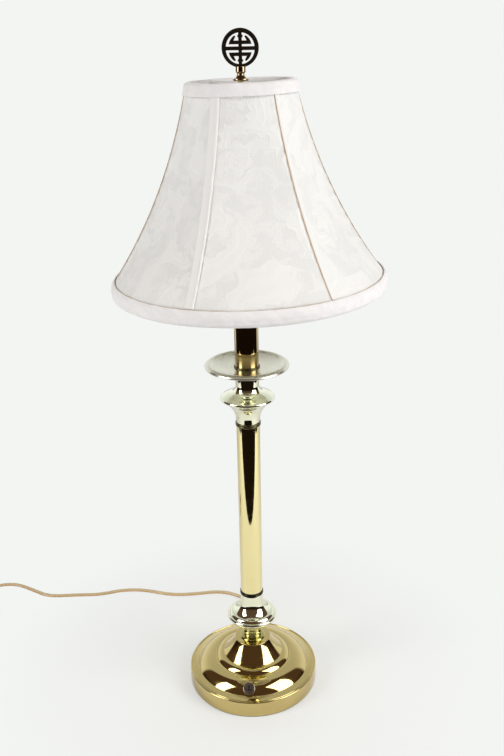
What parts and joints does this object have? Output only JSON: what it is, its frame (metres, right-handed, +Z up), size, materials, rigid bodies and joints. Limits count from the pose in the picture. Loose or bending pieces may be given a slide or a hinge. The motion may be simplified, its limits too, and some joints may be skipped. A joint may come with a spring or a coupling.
{
  "type": "candlestick table lamp",
  "caption": "Turned metal candlestick table lamp with a drip pan, bell shade on a harp, fretwork finial, base push switch and plug-in cord.",
  "frame": {"origin": "middle of the base's underside, on the table top", "axes": "+Z up along the column, -Y to the front where the switch is, the cord leaves towards +Y and runs to -X"},
  "size_m": [0.601, 0.3389, 0.7303],
  "materials": {
    "polished_brass": "polished",
    "dark_brass": "antiqued",
    "pale_nickel": "polished",
    "harp_brass": "satin",
    "steel": "zinc plated",
    "iron": "as cast",
    "felt": "felt",
    "switch_nickel": "satin",
    "black_plastic": "gloss",
    "fibre": "pressed fibre",
    "contact_metal": "bare",
    "screw_metal": "bare",
    "bulb_glass": "clear",
    "cord_plastic": "translucent gold",
    "tie_plastic": "matt",
    "shade_fabric": "woven damask",
    "lining_fabric": "plain",
    "piping_fabric": "twisted"
  },
  "bodies": {
    "lamp_body": {"base_felt_pad": "felt", "base_weight": "iron", "base_shell": "polished_brass", "base_washer": "steel", "base_locknut": "steel", "threaded_rod": "steel", "base_cone": "polished_brass", "neck_spindle": "polished_brass", "lower_knop": "pale_nickel", "lower_check_ring": "dark_brass", "column_tube": "polished_brass", "upper_check_ring": "dark_brass", "upper_vase": "pale_nickel", "drip_pan": "polished_brass", "candle_seat_ring": "dark_brass", "candle_tube": "polished_brass", "candle_cap": "polished_brass", "harp_saddle": "harp_brass", "socket_cap": "polished_brass", "socket_shell": "polished_brass", "socket_insulator": "fibre", "socket_body": "black_plastic", "socket_screw_shell": "screw_metal", "socket_contact": "contact_metal", "switch_body": "black_plastic", "switch_bushing": "switch_nickel", "switch_ring_nut": "switch_nickel", "switch_leads": "cord_plastic", "cord_bushing": "cord_plastic", "cord_inner": "cord_plastic", "cord_lead": "cord_plastic", "cord_coil": "cord_plastic", "cord_tie": "tie_plastic", "plug_body": "cord_plastic", "plug_blades": "contact_metal"},
    "button": {"switch_button": "black_plastic"},
    "bulb": {"bulb_contact": "contact_metal", "bulb_cap": "screw_metal", "bulb_glass": "bulb_glass", "bulb_stem": "bulb_glass"},
    "harp": {"harp_leg_left": "harp_brass", "harp_leg_right": "harp_brass", "harp_stud": "polished_brass"},
    "sleeve_left": {"harp_sleeve_left": "harp_brass"},
    "sleeve_right": {"harp_sleeve_right": "harp_brass"},
    "shade": {"shade_spider": "steel", "shade_top_ring": "steel", "shade_bottom_ring": "steel", "shade_ribs": "steel", "shade_cover": "shade_fabric", "shade_lining": "lining_fabric", "shade_top_trim": "shade_fabric", "shade_bottom_trim": "shade_fabric", "shade_piping": "piping_fabric"},
    "finial": {"finial_stem": "polished_brass", "finial_medallion": "polished_brass"}
  },
  "joints": [
    {"name": "switch_press", "type": "slide", "parent": "lamp_body", "child": "button", "axis": [0.0504, 0.6136, -0.788], "range_m": [0, 0.0022], "stiffness_N_per_m": 600, "springref_m": -0.003},
    {"name": "bulb_turn", "type": "hinge", "parent": "lamp_body", "child": "bulb", "pos_m": [0, 0, 0.525], "axis": [0, 0, 1], "range_deg": [0, 1440]},
    {"name": "harp_lift", "type": "slide", "parent": "lamp_body", "child": "harp", "axis": [0, 0, 1], "range_m": [0, 0.15]},
    {"name": "sleeve_left_slide", "type": "slide", "parent": "harp", "child": "sleeve_left", "axis": [0, 0, 1], "range_m": [0, 0.012]},
    {"name": "sleeve_right_slide", "type": "slide", "parent": "harp", "child": "sleeve_right", "axis": [0, 0, 1], "range_m": [0, 0.012]},
    {"name": "shade_turn", "type": "hinge", "parent": "harp", "child": "shade", "pos_m": [0, 0, 0.6808], "axis": [-0.0227, 0, 0.9997], "continuous": true},
    {"name": "finial_turn", "type": "hinge", "parent": "harp", "child": "finial", "pos_m": [0, 0, 0.6838], "axis": [0, 0, 1], "continuous": true}
  ]
}
